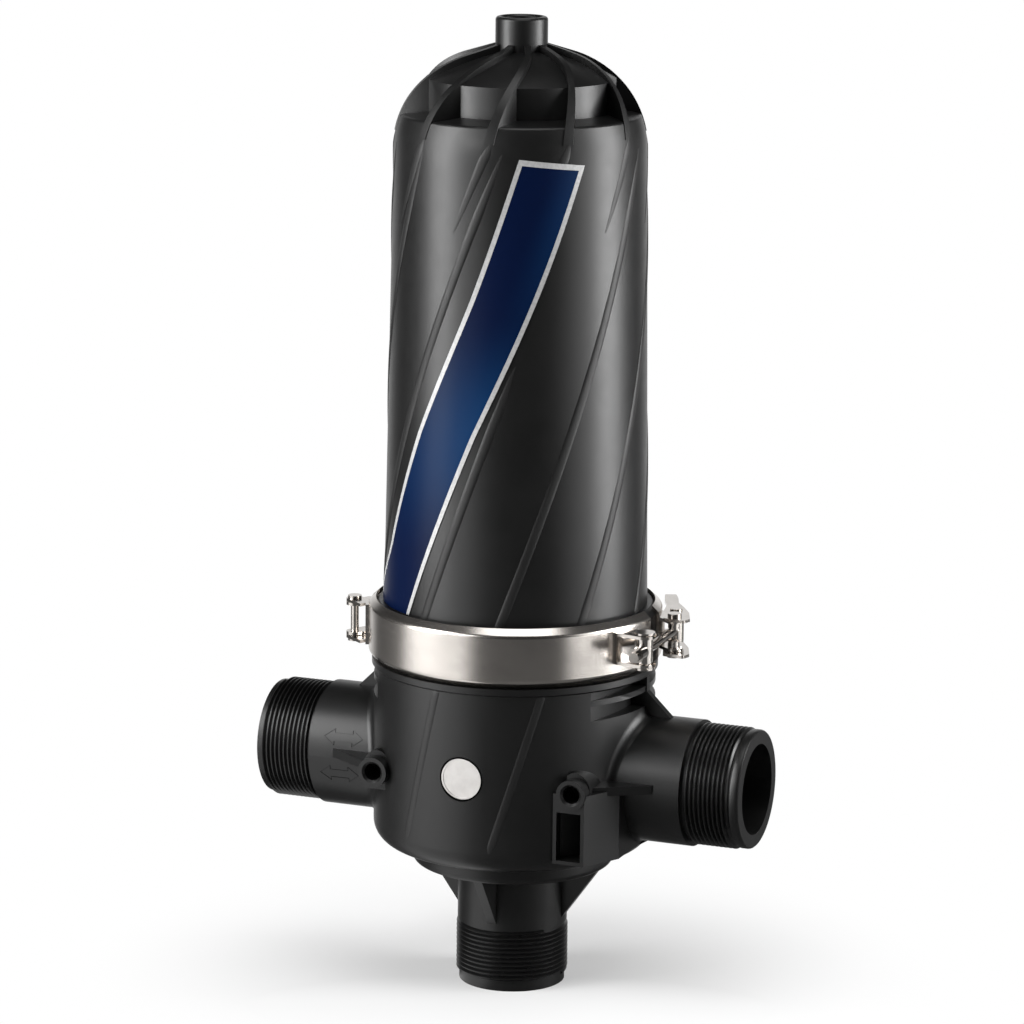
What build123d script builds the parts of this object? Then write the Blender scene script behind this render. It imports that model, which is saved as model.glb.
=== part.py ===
from build123d import *
import os
from math import asin, cos, degrees, pi, radians, sin, tan

os.makedirs("parts", exist_ok=True)

# Plastic disc filter housing with a lift-off lid, held by a hinged V-band clamp.
# Millimetres, +Z up. The origin is the centre of the bottom port's end face.
# +X is the right side port, -Y is the front with the round marker.
# A bearing is an angle about Z, in degrees, from the front towards the right port.

# Heights of the housing
overall_height = 479.0
parting_z = 180.0
side_port_z = 110.7
foot_disc_z = 61.4
belly_z = 71.5

# Bearing at which a face that goes all the way round is joined, clear of ports, ribs and gussets
seam_bearing = 146.0

# Base body
body_r = 69.3
body_wall = 4.8
belly_round = 11.0
foot_disc_r = 49.9
foot_disc_round = 3.0
chamber_floor = 5.0
chamber_r = body_r - body_wall

# Clamped flanges, shared by the body, the lid and the clamp
flange_out = 1.1
flange_r = body_r + flange_out
flange_edge_half = 10.4
flange_face_half = 13.5
flange_cone_deg = 42.0
groove_depth = 4.4
groove_r = flange_r - groove_depth
rim_height = 3.0
rim_gap = 0.4

# Side ports: 2 in pipe thread, 11 turns to the inch
side_port_reach = 126.8
side_thread_r = 29.8
side_thread_length = 29.5
side_neck_r = 31.0
side_bore_r = 22.2
side_neck_round = 5.0
thread_depth = 1.48
neck_top = side_port_z + side_neck_r
neck_low = side_port_z - side_neck_r

# Bottom port
bottom_thread_r = 27.7
bottom_thread_length = 31.0
bottom_neck_r = 27.2
bottom_bore_r = 21.5
gusset_inset = 3.4
gusset_foot_z = 34.5
gusset_thick = 4.6

# Riser that carries the filter cartridge
riser_wall = 4.5
riser_top_z = 150.0

# Recesses in the wall over each side port, with two level ribs and an upright web left between them
rib_count = 2
rib_first_rise = 3.7
rib_pitch = 10.1
rib_thick = 2.8
recess_half_angle = 36.5
recess_depth = 7.3
recess_wall = 3.0
port_web_thick = 4.0
port_web_out = 0.7
port_web_reach = 13.4
port_web_inset = 10.0
under_web_reach = 3.8
under_web_rise = 1.2
under_web_toe = 3.4
web_sink = 4.0

# Pressure tap bosses, 1/8 in pipe thread
tap_bearing = 48.4
tap_z = 113.5
tap_proud = 11.0
tap_r = 7.4
tap_bore_r = 4.28
tap_bore_depth = 13.0
tap_mouth_r = 5.4
hood_set_back = 4.5
hood_foot = 10.0
hood_rise = 9.8
hood_shoulder = 0.75
tap_rib_run = 14.7
tap_rib_thick = 4.2

# Pocket below the right tap, with a slanted outer side
pocket_width = 16.0
pocket_drop = 35.0
pocket_wall = 1.8
pocket_back_wall = 2.6
pocket_set_back = 1.0
pocket_slant = (10.6, 20.0)

# Round marker on the front
marker_r = 10.2
marker_z = 119.0
marker_gap = 0.9
marker_thick = 2.0
marker_recess = 2.6
marker_rim = 0.9
marker_rim_height = 0.3

# Lid
lid_step = 4.7
lid_draft = 3.6
lid_wall = 4.0
shoulder_drop = 63.5
shoulder_edge_drop = 46.5
shoulder_round = 1.6
ledge_drop = 2.0
drum_step = 15.4
drum_drop = 29.4
dome_drop = 16.2
dome_rise = 1.6
dome_wall = 8.0
lid_bottom_r = body_r - lid_step
lid_top_r = lid_bottom_r - lid_draft
shoulder_z = overall_height - shoulder_drop
shoulder_edge_z = overall_height - shoulder_edge_drop
drum_r = lid_top_r - drum_step
drum_top_z = overall_height - drum_drop
dome_top_z = overall_height - dome_drop

# Top port: 1/2 in pipe socket
stub_r = 12.6
stub_bore_r = 9.32
stub_round = 1.6
stub_mouth = 0.9

# Crown: an upright arc shared by the shoulder and the fins, then the fins' slope up to the stub
crown_arc_r = 48.0
crown_slope_deg = 17.0
crown_centre_r = lid_top_r - crown_arc_r

# Crown fins
fin_count = 10
fin_root_thick = 3.0
fin_drum_thick = 3.6
fin_foot_thick = 5.2
fin_foot_bearing = 5.6
fin_drum_bearing = 16.8
fin_root_bearing = 35.0
fin_root_sink = 1.6
fin_proud = 0.4
fin_foot_drop = 8.0

# Lid seal
seal_inset = 2.5
seal_section_r = 1.5
seal_groove_side = 0.25
seal_groove_above = 0.15
seal_r = flange_r - seal_inset

# V-band clamp
clamp_sheet = 1.5
clamp_gap = 0.25
clamp_lip_reach = 2.15
clamp_corner_round = 2.4
clamp_hinge_bearing = -77.5
clamp_front_end = 87.0
clamp_rear_end = 97.5
clamp_hinge_split = 1.6

# Hinge brackets and pin
hinge_pin_out = 8.25
hinge_pin_r = 2.0
hinge_ear_thick = 1.5
hinge_ear_half_height = 10.0
hinge_ear_r = 4.2
hinge_plate_span = 11.0
pin_fit = 0.06
ear_fit = 0.3
pin_head_r = 3.4
pin_head_thick = 1.4

# Over-centre latch
latch_rise = 2.0
latch_sheet = 1.5
trunnion_bearing = 69.0
trunnion_out = 12.15
lever_pivot_bearing = 93.5
lever_pivot_out = 9.1
lever_length = 46.0
lever_lean_deg = 112.1
lever_corner_round = 1.2
lever_web_length = 12.0
bolt_pin_reach = 12.0
bolt_pin_lean_deg = 106.0
lever_half_height = 9.5
lever_pin_r = 2.0
lever_sleeve_r = 2.6
trunnion_r = 4.0
trunnion_half_height = 6.0
trunnion_journal_r = 2.2
trunnion_head_thick = 1.0
draw_bolt_r = 2.5
draw_bolt_tail = 16.6
bolt_eye_r = 3.9
nut_r = 3.5
nut_length = 8.0
front_plate_span = 10.0
rear_plate_span = 9.0
rear_arm_end_r = 4.0
hook_wall = 1.6
slot_fit = 0.55
stud_gap = 0.4
thread_fit = 0.02

# Cartridge
disc_room = 7.0
plate_overhang = 2.0
cartridge_plate = 7.5
spigot_length = 12.0
spigot_fit = 0.3
spigot_bore_r = 17.0
spoke_thick = 3.0
hub_wall = 3.0
spine_r = 31.5
spine_wall = 3.0
spine_head = 4.0
spine_window_count = 6
spine_rod_width = 9.0
spine_foot = 10.0
disc_fit = 0.5
disc_pack_count = 8
disc_pack_gap = 0.1
disc_start = 7.0
face_gap = 0.2
vane_count = 12
vane_thick = 1.8
vane_tilt_deg = 52.0
helix_ring_out = 6.0
helix_ring_height = 18.0
helix_band_height = 3.0
cap_thick = 8.0
cap_rim = 3.0
cap_rim_height = 6.0
spring_wire_r = 1.6
spring_turns = 4
spring_room = 27.0
retainer_inset = 5.0
retainer_thick = 4.0
retainer_drop = 7.6
rod_r = 5.0
rod_end = 2.0
rod_nut_r = 9.0
rod_nut_height = 8.0
slide_fit = 0.1
spigot_seal_r = 1.3
spigot_seal_depth = 2.4

# Worked-out values
riser_r = bottom_bore_r + riser_wall
side_root_r = side_thread_r - thread_depth
bottom_root_r = bottom_thread_r - thread_depth
flange_slope = tan(radians(flange_cone_deg))
cone_r = flange_r - (flange_face_half - flange_edge_half) / flange_slope
clamp_inner_r = flange_r + clamp_gap
clamp_r = clamp_inner_r + clamp_sheet
clamp_lip_r = clamp_inner_r - clamp_lip_reach
clamp_wall_half = flange_edge_half + clamp_gap
clamp_sheet_rise = clamp_sheet / cos(radians(flange_cone_deg))
clamp_lip_rise = clamp_lip_reach * flange_slope
clamp_half_height = clamp_wall_half + clamp_lip_rise + clamp_sheet_rise
rim_top_z = parting_z - clamp_half_height - rim_gap
rim_z = rim_top_z - rim_height
tap_x = body_r * sin(radians(tap_bearing))
tap_face_y = body_r * cos(radians(tap_bearing)) + tap_proud


def at(bearing, radius, z=0.0):
    """Point at a bearing and a radius about the vertical axis."""
    angle = radians(bearing)
    return Vector(radius * sin(angle), -radius * cos(angle), z)


def spun(outline, start=seam_bearing, sweep=360.0):
    """Solid of revolution about Z from an outline in the XZ plane, from one bearing on."""
    return Rot(0, 0, start - 90.0) * revolve(make_face(outline), Axis.Z, revolution_arc=sweep)


def revolved(points, start=seam_bearing, sweep=360.0):
    """Solid of revolution about Z from closed (radius, z) points."""
    return spun(Polyline([(r, 0, z) for r, z in points], close=True), start, sweep)


def tube(outer, inner, low, high):
    """Upright tube, or a rod if the inner radius is 0."""
    place = Pos(0, 0, low) * Rot(0, 0, seam_bearing - 90.0)
    solid = place * Cylinder(outer, high - low, align=(Align.CENTER, Align.CENTER, Align.MIN))
    if inner:
        solid -= place * Cylinder(inner, high - low, align=(Align.CENTER, Align.CENTER, Align.MIN))
    return solid


def rod_between(start, end, radius):
    """Round rod between two points."""
    start, end = Vector(*start), Vector(*end)
    plane = Plane(origin=start, z_dir=end - start)
    return extrude(plane * Circle(radius), (end - start).length)


def prism(points, low, high):
    """Upright prism from plan points."""
    return Pos(0, 0, low) * extrude(make_face(Polyline(points, close=True)), high - low)


def wall_in_xz(points, thick):
    """Web that stands in the XZ plane, centred on it."""
    outline = make_face(Polyline([(x, 0, z) for x, z in points], close=True))
    return extrude(outline, thick / 2, dir=(0, 1, 0), both=True)


def write(shape, name):
    export_step(shape, f"parts/{name}.step")


def base_body():
    """Moulded base: chamber, riser, two side ports, bottom port, flange, ribs, taps and pocket."""
    belly = tube(body_r, 0, belly_z, rim_z)
    belly = fillet(belly.edges().sort_by(Axis.Z)[0], belly_round)
    foot_disc = tube(foot_disc_r, 0, foot_disc_z, belly_z + 1)
    foot_disc = fillet(foot_disc.edges().group_by(Axis.Z)[0], foot_disc_round)
    body = belly + foot_disc

    for side in (0, 180):
        neck = Rot(0, 0, side) * Pos(0, 0, side_port_z) * extrude(
            Plane.YZ * Circle(side_neck_r), side_port_reach - side_thread_length)
        body += neck
    seam = [e for e in body.edges()
            if abs(e.center().Z - side_port_z) < side_neck_r and abs(e.center().X) < body_r
            and e.geom_type != GeomType.CIRCLE and e.length > side_neck_r]
    body = fillet(seam, side_neck_round)

    for side in (0, 180):
        turn = Rot(0, 0, side)
        thread_root = Pos(0, 0, side_port_z) * extrude(Plane.YZ * Circle(side_root_r), side_port_reach)
        body += turn * thread_root
        for recess in port_recesses():
            body -= turn * recess
        body += turn * port_webs()
    body += tube(bottom_neck_r, 0, bottom_thread_length, belly_z)
    body += tube(bottom_root_r, 0, 0, belly_z)
    gusset_reach = foot_disc_r - gusset_inset
    for quarter in range(4):
        body += Rot(0, 0, 90 * quarter) * wall_in_xz([
            (0, foot_disc_z + 1), (gusset_reach, foot_disc_z + 1), (gusset_reach, foot_disc_z),
            (bottom_neck_r, gusset_foot_z), (0, gusset_foot_z),
        ], gusset_thick)
    body += body_flange()
    body += tap_mount(1) + tap_mount(-1) + pocket_box()

    body -= chamber()
    body -= tube(bottom_bore_r, 0, 0, parting_z)
    for side in (0, 180):
        bore = Pos(riser_r + 1, 0, side_port_z) * extrude(Plane.YZ * Circle(side_bore_r), side_port_reach)
        body -= Rot(0, 0, side) * bore
    body -= seal_groove()
    body -= pocket_hollow()
    body -= marker_recess_cut()
    for side in (1, -1):
        body -= tap_bore(side)
    return body


def chamber():
    """Water space round the riser; its wall bulges inwards behind the recesses."""
    space = tube(chamber_r, 0, belly_z + chamber_floor, parting_z)
    space = fillet(space.edges().group_by(Axis.Z)[0], belly_round - body_wall)
    for side in (0, 180):
        space -= Rot(0, 0, side) * crescent(chamber_r + 1, recess_wall, neck_top, parting_z)
    return space - tube(riser_r, 0, belly_z, riser_top_z)


def body_flange():
    """Outer rim, clamp groove and coned flange under the parting plane."""
    return revolved([
        (0, rim_z - 1), (body_r, rim_z - 1), (flange_r, rim_z), (flange_r, rim_top_z),
        (groove_r, rim_top_z), (groove_r, parting_z - flange_face_half),
        (cone_r, parting_z - flange_face_half), (flange_r, parting_z - flange_edge_half),
        (flange_r, parting_z), (0, parting_z),
    ])


def crescent(outer, behind, low, high):
    """What lies between a round wall and the flatter back of the recesses, on the right."""
    back_x = body_r - recess_depth
    meet_x = body_r * cos(radians(recess_half_angle))
    shift = (back_x ** 2 - body_r ** 2) / (2 * (back_x - meet_x))
    return tube(outer, 0, low, high) - Pos(shift, 0, 0) * tube(back_x - behind - shift, 0, low - 1, high + 1)


def port_recesses():
    """Recesses over the right port: one above each level rib."""
    for k in range(rib_count):
        low = neck_top + rib_first_rise + k * rib_pitch + rib_thick / 2
        high = min(low + rib_pitch - rib_thick, rim_z)
        yield crescent(body_r + side_neck_round, 0, low, high)


def port_webs():
    """Upright web over the right port, sloping down to its neck, and a small web under it."""
    inner = body_r - port_web_inset
    slope_top = neck_top + rib_first_rise + rib_pitch - rib_thick / 2
    webs = wall_in_xz([
        (inner, neck_top - web_sink), (body_r + port_web_reach, neck_top - web_sink),
        (body_r + port_web_reach, neck_top), (body_r + port_web_out, slope_top),
        (body_r + port_web_out, rim_z), (inner, rim_z),
    ], port_web_thick)
    toe_z = belly_z + under_web_rise
    webs += wall_in_xz([
        (inner, toe_z), (body_r - belly_round + under_web_toe, toe_z), (body_r + under_web_reach, neck_low),
        (body_r + under_web_reach, neck_low + web_sink), (inner, neck_low + web_sink),
    ], port_web_thick)
    return webs


def tap_mount(side):
    """Pointed hood, round boss and tapered rib of a pressure tap; side is 1 on the right, -1 on the left."""
    shoulder = (tap_r * hood_shoulder, hood_rise * hood_shoulder * 0.9)
    outline = Plane.XZ * make_face(Wire([
        Line((-tap_r, -hood_foot), (tap_r, -hood_foot)),
        Line((tap_r, -hood_foot), (tap_r, 0)),
        ThreePointArc((tap_r, 0), shoulder, (0, hood_rise)),
        ThreePointArc((0, hood_rise), (-shoulder[0], shoulder[1]), (-tap_r, 0)),
        Line((-tap_r, 0), (-tap_r, -hood_foot)),
    ]))
    hood_y = tap_face_y - tap_proud + hood_set_back
    hood = Pos(side * tap_x, 0, tap_z) * extrude(outline, hood_y)
    boss = Pos(side * tap_x, 0, tap_z) * extrude(Plane.XZ * Circle(tap_r), tap_face_y)
    rib_z = tap_rib_thick / 2
    rib_end_x = body_r + tap_rib_run
    rib = prism([
        (side * tap_x, 0), (side * (tap_x + tap_r - 1), -hood_y + 3),
        (side * rib_end_x, -side_neck_r - 0.6), (side * rib_end_x, 0),
    ], tap_z - rib_z, tap_z + rib_z)
    return hood + boss + rib


def tap_bore(side):
    """Blind threaded hole of a tap with a chamfered mouth."""
    plane = Plane(origin=(side * tap_x, -tap_face_y, tap_z), z_dir=(0, 1, 0))
    mouth = tap_mouth_r - tap_bore_r
    drilled = extrude(plane * Circle(tap_bore_r), tap_bore_depth)
    cone = plane * Cone(tap_mouth_r, tap_bore_r, mouth, align=(Align.CENTER, Align.CENTER, Align.MIN))
    return drilled + cone


def pocket_box():
    """Box below the right tap whose outer side slants back to the body."""
    inner_x = tap_x - tap_r - pocket_wall
    outer_x = inner_x + pocket_width
    face_y = pocket_set_back - tap_face_y
    return prism([
        (inner_x, 0), (inner_x, face_y), (outer_x, face_y),
        (outer_x + pocket_slant[0], face_y + pocket_slant[1]), (outer_x + pocket_slant[0], 0),
    ], tap_z - pocket_drop, tap_z)


def pocket_hollow():
    """Space in the box, as deep as the chamber's wall lets it be."""
    inner_x = tap_x - tap_r
    face_y = pocket_set_back - tap_face_y
    low, high = tap_z - pocket_drop + pocket_wall, tap_z - tap_r - pocket_wall
    hollow = prism([
        (inner_x, 0), (inner_x, face_y - 1), (inner_x + pocket_width - 2 * pocket_wall, face_y - 1),
        (inner_x + pocket_width - 2 * pocket_wall, 0),
    ], low, high)
    return hollow - tube(chamber_r + pocket_back_wall, 0, low, high)


def marker_recess_cut():
    plane = Plane(origin=(0, -body_r - 1, marker_z), z_dir=(0, 1, 0))
    return extrude(plane * Circle(marker_r + marker_gap), marker_recess + 1)


def marker_disc():
    """Plain round marker with a raised rim, seated in its recess."""
    plane = Plane(origin=(0, -body_r + marker_recess, marker_z), z_dir=(0, -1, 0))
    disc = extrude(plane * Circle(marker_r), marker_thick)
    face = Plane(origin=(0, -body_r + marker_recess - marker_thick, marker_z), z_dir=(0, 1, 0))
    return disc - extrude(face * Circle(marker_r - marker_rim), marker_rim_height)


def seal_groove():
    side = seal_section_r + seal_groove_side
    depth = 2 * seal_section_r + seal_groove_above
    return tube(seal_r + side, seal_r - side, parting_z - depth, parting_z)


def lid_seal():
    centre_z = parting_z - seal_groove_above - seal_section_r
    return Pos(0, 0, centre_z) * Torus(seal_r, seal_section_r)


def crown_point(lean_deg, out=0.0):
    """Point of the crown's arc: lean 0 is level with its centre, 90 is right above it."""
    lean = radians(lean_deg)
    return (crown_centre_r + (crown_arc_r + out) * cos(lean), shoulder_z + (crown_arc_r + out) * sin(lean))


def in_xz(point):
    return (point[0], 0, point[1])


def crown_fins():
    """Swirled upright fins, cut from the crown's solid of revolution by a curved strip in plan."""
    foot_z = shoulder_edge_z - fin_foot_drop
    foot, arc_end = crown_point(0, fin_proud), crown_point(90 - crown_slope_deg, fin_proud)
    arc_middle = crown_point((90 - crown_slope_deg) / 2, fin_proud)
    root_r = stub_r - fin_root_sink
    top = (root_r, arc_end[1] + (arc_end[0] - root_r) * tan(radians(crown_slope_deg)))
    crown = spun(Wire([
        Line((0, 0, shoulder_z), in_xz(foot)),
        ThreePointArc(in_xz(foot), in_xz(arc_middle), in_xz(arc_end)),
        Line(in_xz(arc_end), in_xz(top)),
        Line(in_xz(top), (0, 0, top[1])),
        Line((0, 0, top[1]), (0, 0, shoulder_z)),
    ]))
    stations = [(fin_root_bearing, root_r, fin_root_thick), (fin_drum_bearing, drum_r, fin_drum_thick),
                (fin_foot_bearing, lid_top_r + 2, fin_foot_thick)]
    left, right = [
        [at(bearing + side * degrees(thick / 2 / radius), radius) for bearing, radius, thick in stations]
        for side in (-1, 1)
    ]
    strip = make_face(Wire([
        ThreePointArc(*left), Line(left[-1], right[-1]),
        ThreePointArc(*reversed(right)), Line(right[0], left[0]),
    ]))
    fin = crown & (Pos(0, 0, foot_z) * extrude(strip, overall_height - foot_z))
    return [Rot(0, 0, 360 / fin_count * k) * fin for k in range(fin_count)]


def lid():
    """Tall tapered lid with a rounded shoulder, a drum, a shallow dome, fins, a top port and a flange."""
    edge_lean = degrees(asin((shoulder_edge_z - shoulder_z) / crown_arc_r))
    edge = crown_point(edge_lean)
    drum_foot = (drum_r, shoulder_edge_z + ledge_drop)
    outline = [
        (0, parting_z), (flange_r, parting_z), (flange_r, parting_z + flange_edge_half),
        (cone_r, parting_z + flange_face_half), (lid_bottom_r, parting_z + flange_face_half),
        (lid_top_r, shoulder_z),
    ]
    lines = [Line(in_xz(p), in_xz(q)) for p, q in zip(outline, outline[1:])]
    lines.append(ThreePointArc(in_xz(outline[-1]), in_xz(crown_point(edge_lean / 2)), in_xz(edge)))
    rest = [edge, drum_foot, (drum_r, drum_top_z), (0, drum_top_z), (0, parting_z)]
    lines += [Line(in_xz(p), in_xz(q)) for p, q in zip(rest, rest[1:])]
    outer = spun(Wire(lines))
    rims = outer.edges().filter_by(lambda e: abs(e.center().Z - shoulder_edge_z) < 0.01)
    outer = fillet(rims, shoulder_round)
    dome_middle = ((drum_r + stub_r) / 2, (drum_top_z + dome_top_z) / 2 + dome_rise)
    outer += spun(Wire([
        Line((0, 0, drum_top_z), (drum_r, 0, drum_top_z)),
        ThreePointArc((drum_r, 0, drum_top_z), in_xz(dome_middle), (stub_r, 0, dome_top_z)),
        Line((stub_r, 0, dome_top_z), (0, 0, dome_top_z)),
        Line((0, 0, dome_top_z), (0, 0, drum_top_z)),
    ]))
    stub = tube(stub_r, 0, drum_top_z, overall_height)
    stub = fillet(stub.edges().group_by(Axis.Z)[-1], stub_round)
    solid = outer + stub
    for fin in crown_fins():
        solid += fin
    crown_floor_z = dome_top_z - dome_wall
    solid -= revolved([
        (0, parting_z), (lid_bottom_r - lid_wall, parting_z), (lid_top_r - lid_wall, shoulder_z),
        (edge[0] - lid_wall, shoulder_edge_z - lid_wall), (drum_r - lid_wall, shoulder_edge_z - lid_wall),
        (drum_r - lid_wall, drum_top_z - lid_wall), (stub_bore_r, crown_floor_z), (0, crown_floor_z),
    ])
    solid -= tube(stub_bore_r, 0, crown_floor_z - 1, overall_height)
    mouth = Pos(0, 0, overall_height - stub_mouth) * Cone(
        stub_bore_r, stub_bore_r + stub_mouth, stub_mouth, align=(Align.CENTER, Align.CENTER, Align.MIN))
    return solid - mouth


def clamp_band(start, end):
    """One half of the V-band, between two bearings: a wall with two coned lips and rounded corners."""
    corner = clamp_wall_half + clamp_sheet_rise - clamp_sheet * flange_slope
    lip_z = clamp_wall_half + clamp_lip_rise
    upper = [(clamp_lip_r, lip_z), (clamp_lip_r, clamp_half_height), (clamp_r, corner)]
    lower = [(r, -z) for r, z in reversed(upper)]
    profile = [(clamp_inner_r, -clamp_wall_half), (clamp_inner_r, clamp_wall_half)] + upper + lower
    face = Pos(0, 0, parting_z) * make_face(Polyline([in_xz(p) for p in profile], close=True))
    corners = face.vertices().sort_by(Axis.X)[-2:]
    face = fillet(corners, clamp_corner_round)
    return Rot(0, 0, start - 90) * revolve(face, Axis.Z, revolution_arc=end - start)


def ear(centre, foot, z, thick, end_r, foot_half):
    """Flat lug at height z: round about its pin, widening to a foot on the band."""
    centre, foot = Vector(centre.X, centre.Y, 0), Vector(foot.X, foot.Y, 0)
    run = (foot - centre).normalized()
    across = Vector(-run.Y, run.X, 0)
    plate = make_face(Polyline([
        centre + across * end_r, foot + across * foot_half,
        foot - across * foot_half, centre - across * end_r,
    ], close=True))
    shape = extrude(plate, thick) + Pos(centre.X, centre.Y, 0) * Cylinder(
        end_r, thick, align=(Align.CENTER, Align.CENTER, Align.MIN))
    return Pos(0, 0, z) * shape


def band_plate(start, end, half_height, mid_z):
    """Curved plate welded on the outside of the band."""
    return revolved([
        (clamp_r, mid_z - half_height), (clamp_r + latch_sheet, mid_z - half_height),
        (clamp_r + latch_sheet, mid_z + half_height), (clamp_r, mid_z + half_height),
    ], start, end - start)


def outside_band(shape):
    """The shape without what would reach further in than the plate welded on the band."""
    return shape - tube(clamp_r + latch_sheet / 2, 0, rim_top_z, parting_z + clamp_half_height)


def hinge_bracket(side, half_height):
    """Hinge bracket of one clamp half; side is 1 for the front half and -1 for the rear half."""
    pin = at(clamp_hinge_bearing, clamp_r + hinge_pin_out)
    near = clamp_hinge_bearing + side * (clamp_hinge_split + 1)
    far = clamp_hinge_bearing + side * hinge_plate_span
    foot = at((near + far) / 2, clamp_r)
    foot_half = radians(abs(far - near) / 2) * clamp_r
    bracket = band_plate(min(near, far), max(near, far), half_height, parting_z)
    for z in (parting_z + half_height - hinge_ear_thick, parting_z - half_height):
        bracket += outside_band(ear(pin, foot, z, hinge_ear_thick, hinge_ear_r, foot_half))
    hole = Pos(pin.X, pin.Y, 0) * tube(hinge_pin_r + pin_fit, 0, 0, overall_height)
    return bracket - hole


def headed_pin(centre, radius, low, high, head_r, head_thick):
    """Upright pin with a round head at each end."""
    pin = tube(radius, 0, low, high) + tube(head_r, 0, high, high + head_thick)
    pin += tube(head_r, 0, low - head_thick, low)
    return Pos(centre.X, centre.Y, 0) * pin


latch_z = parting_z + latch_rise
trunnion_at = at(trunnion_bearing, clamp_r + trunnion_out)
pivot_at = at(lever_pivot_bearing, clamp_r + lever_pivot_out)
bolt_pin_lean = radians(bolt_pin_lean_deg)
bolt_pin_at = pivot_at + Vector(cos(bolt_pin_lean), sin(bolt_pin_lean), 0) * bolt_pin_reach
bolt_along = (trunnion_at - bolt_pin_at).normalized()
rear_ear_half = lever_half_height - latch_sheet - ear_fit
bolt_eye_half = rear_ear_half - latch_sheet - ear_fit


def front_latch_bracket():
    """Bracket on the front half with two hooked ears that hold the trunnion's journals."""
    middle = trunnion_bearing - 1.0
    start, end = middle - front_plate_span / 2, middle + front_plate_span / 2
    half = trunnion_half_height + latch_sheet + ear_fit
    bracket = band_plate(start, end, half, latch_z)
    foot = at(middle, clamp_r)
    foot_half = radians(front_plate_span / 2) * clamp_r
    for z in (latch_z + half - latch_sheet, latch_z - half):
        bracket += outside_band(ear(trunnion_at, foot, z, latch_sheet, trunnion_r + hook_wall, foot_half))
    slot_half = trunnion_journal_r + slot_fit
    slot = Pos(trunnion_at.X, trunnion_at.Y, latch_z) * Box(
        4 * trunnion_r, 2 * slot_half, 4 * half, align=(Align.MIN, Align.CENTER, Align.CENTER))
    seat = Pos(trunnion_at.X, trunnion_at.Y, 0) * tube(slot_half, 0, latch_z - 2 * half, latch_z + 2 * half)
    return bracket - slot - seat


def bolt_barrel():
    """Trunnion: a barrel between the hooked ears, journals through them and a flat head at each end."""
    half = trunnion_half_height
    ear_out = half + latch_sheet + 2 * ear_fit
    shape = tube(trunnion_r, 0, latch_z - half, latch_z + half)
    shape += tube(trunnion_journal_r, 0, latch_z - ear_out, latch_z + ear_out)
    for z in (latch_z + ear_out, latch_z - ear_out - trunnion_head_thick):
        shape += tube(trunnion_r + 1.0, 0, z, z + trunnion_head_thick)
    shape = Pos(trunnion_at.X, trunnion_at.Y, 0) * shape
    middle = Vector(trunnion_at.X, trunnion_at.Y, latch_z)
    reach = bolt_along * (2 * trunnion_r)
    return shape - rod_between(middle - reach, middle + reach, draw_bolt_r + pin_fit)


def draw_bolt():
    """Draw bolt: an eye on the lever's cross pin and a straight shank through the trunnion."""
    eye_centre = Vector(bolt_pin_at.X, bolt_pin_at.Y, latch_z)
    end = Vector(trunnion_at.X, trunnion_at.Y, latch_z) + bolt_along * draw_bolt_tail
    bolt = rod_between(eye_centre, end, draw_bolt_r)
    bolt += Pos(bolt_pin_at.X, bolt_pin_at.Y, 0) * tube(
        bolt_eye_r, 0, latch_z - bolt_eye_half, latch_z + bolt_eye_half)
    return bolt - Pos(bolt_pin_at.X, bolt_pin_at.Y, 0) * tube(
        lever_pin_r + pin_fit, 0, latch_z - lever_half_height, latch_z + lever_half_height)


def adjusting_nut():
    """Round nut on the draw bolt's thread, against the trunnion."""
    start = Vector(trunnion_at.X, trunnion_at.Y, latch_z) + bolt_along * (trunnion_r + pin_fit)
    end = start + bolt_along * nut_length
    nut = rod_between(start, end, nut_r)
    return nut - rod_between(start - bolt_along, end + bolt_along, draw_bolt_r + thread_fit)


def lever_outline():
    """Plan of the lever's plates, along its own x from the pivot to the thumb end."""
    end = lever_length
    outer_edge = [(-10.0, -4.0), (-6.0, -7.2), (7.0, -7.4), (18.0, -5.5), (27.5, -3.3), (end - 8, -3.4)]
    inner_edge = [(end - 12, 3.5), (24.0, 2.7), (10.0, 5.0), (-4.5, 5.6)]
    return outer_edge + [(end, -2.8), (end, 2.9)] + inner_edge


def latch_lever():
    """Sheet lever: two equal plates joined by a web on the outer edge of the thumb end."""
    face = make_face(Polyline(lever_outline(), close=True))
    plate = extrude(fillet(face.vertices(), lever_corner_round), latch_sheet)
    half = lever_half_height
    lever = Pos(0, 0, latch_z + half - latch_sheet) * plate + Pos(0, 0, latch_z - half) * plate
    web_x = lever_length - 1.5 * lever_web_length
    lever += Pos(web_x, -latch_sheet, latch_z) * Box(lever_web_length, latch_sheet, 2 * half)
    lever = Pos(pivot_at.X, pivot_at.Y, 0) * Rot(0, 0, lever_lean_deg) * lever
    for centre in (pivot_at, bolt_pin_at):
        lever -= Pos(centre.X, centre.Y, 0) * tube(lever_pin_r + pin_fit, 0, 0, overall_height)
    return lever


def lever_studs():
    """Two short pivot studs; the draw bolt swings through the gap between them."""
    inner = draw_bolt_r + stud_gap
    stud = tube(lever_pin_r, 0, inner, lever_half_height) + tube(
        pin_head_r, 0, lever_half_height, lever_half_height + pin_head_thick)
    stud += tube(lever_sleeve_r, 0, inner, rear_ear_half - latch_sheet)
    pair = [stud, Rot(180, 0, 0) * stud]
    return Compound(children=[Pos(pivot_at.X, pivot_at.Y, latch_z) * s for s in pair])


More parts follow.
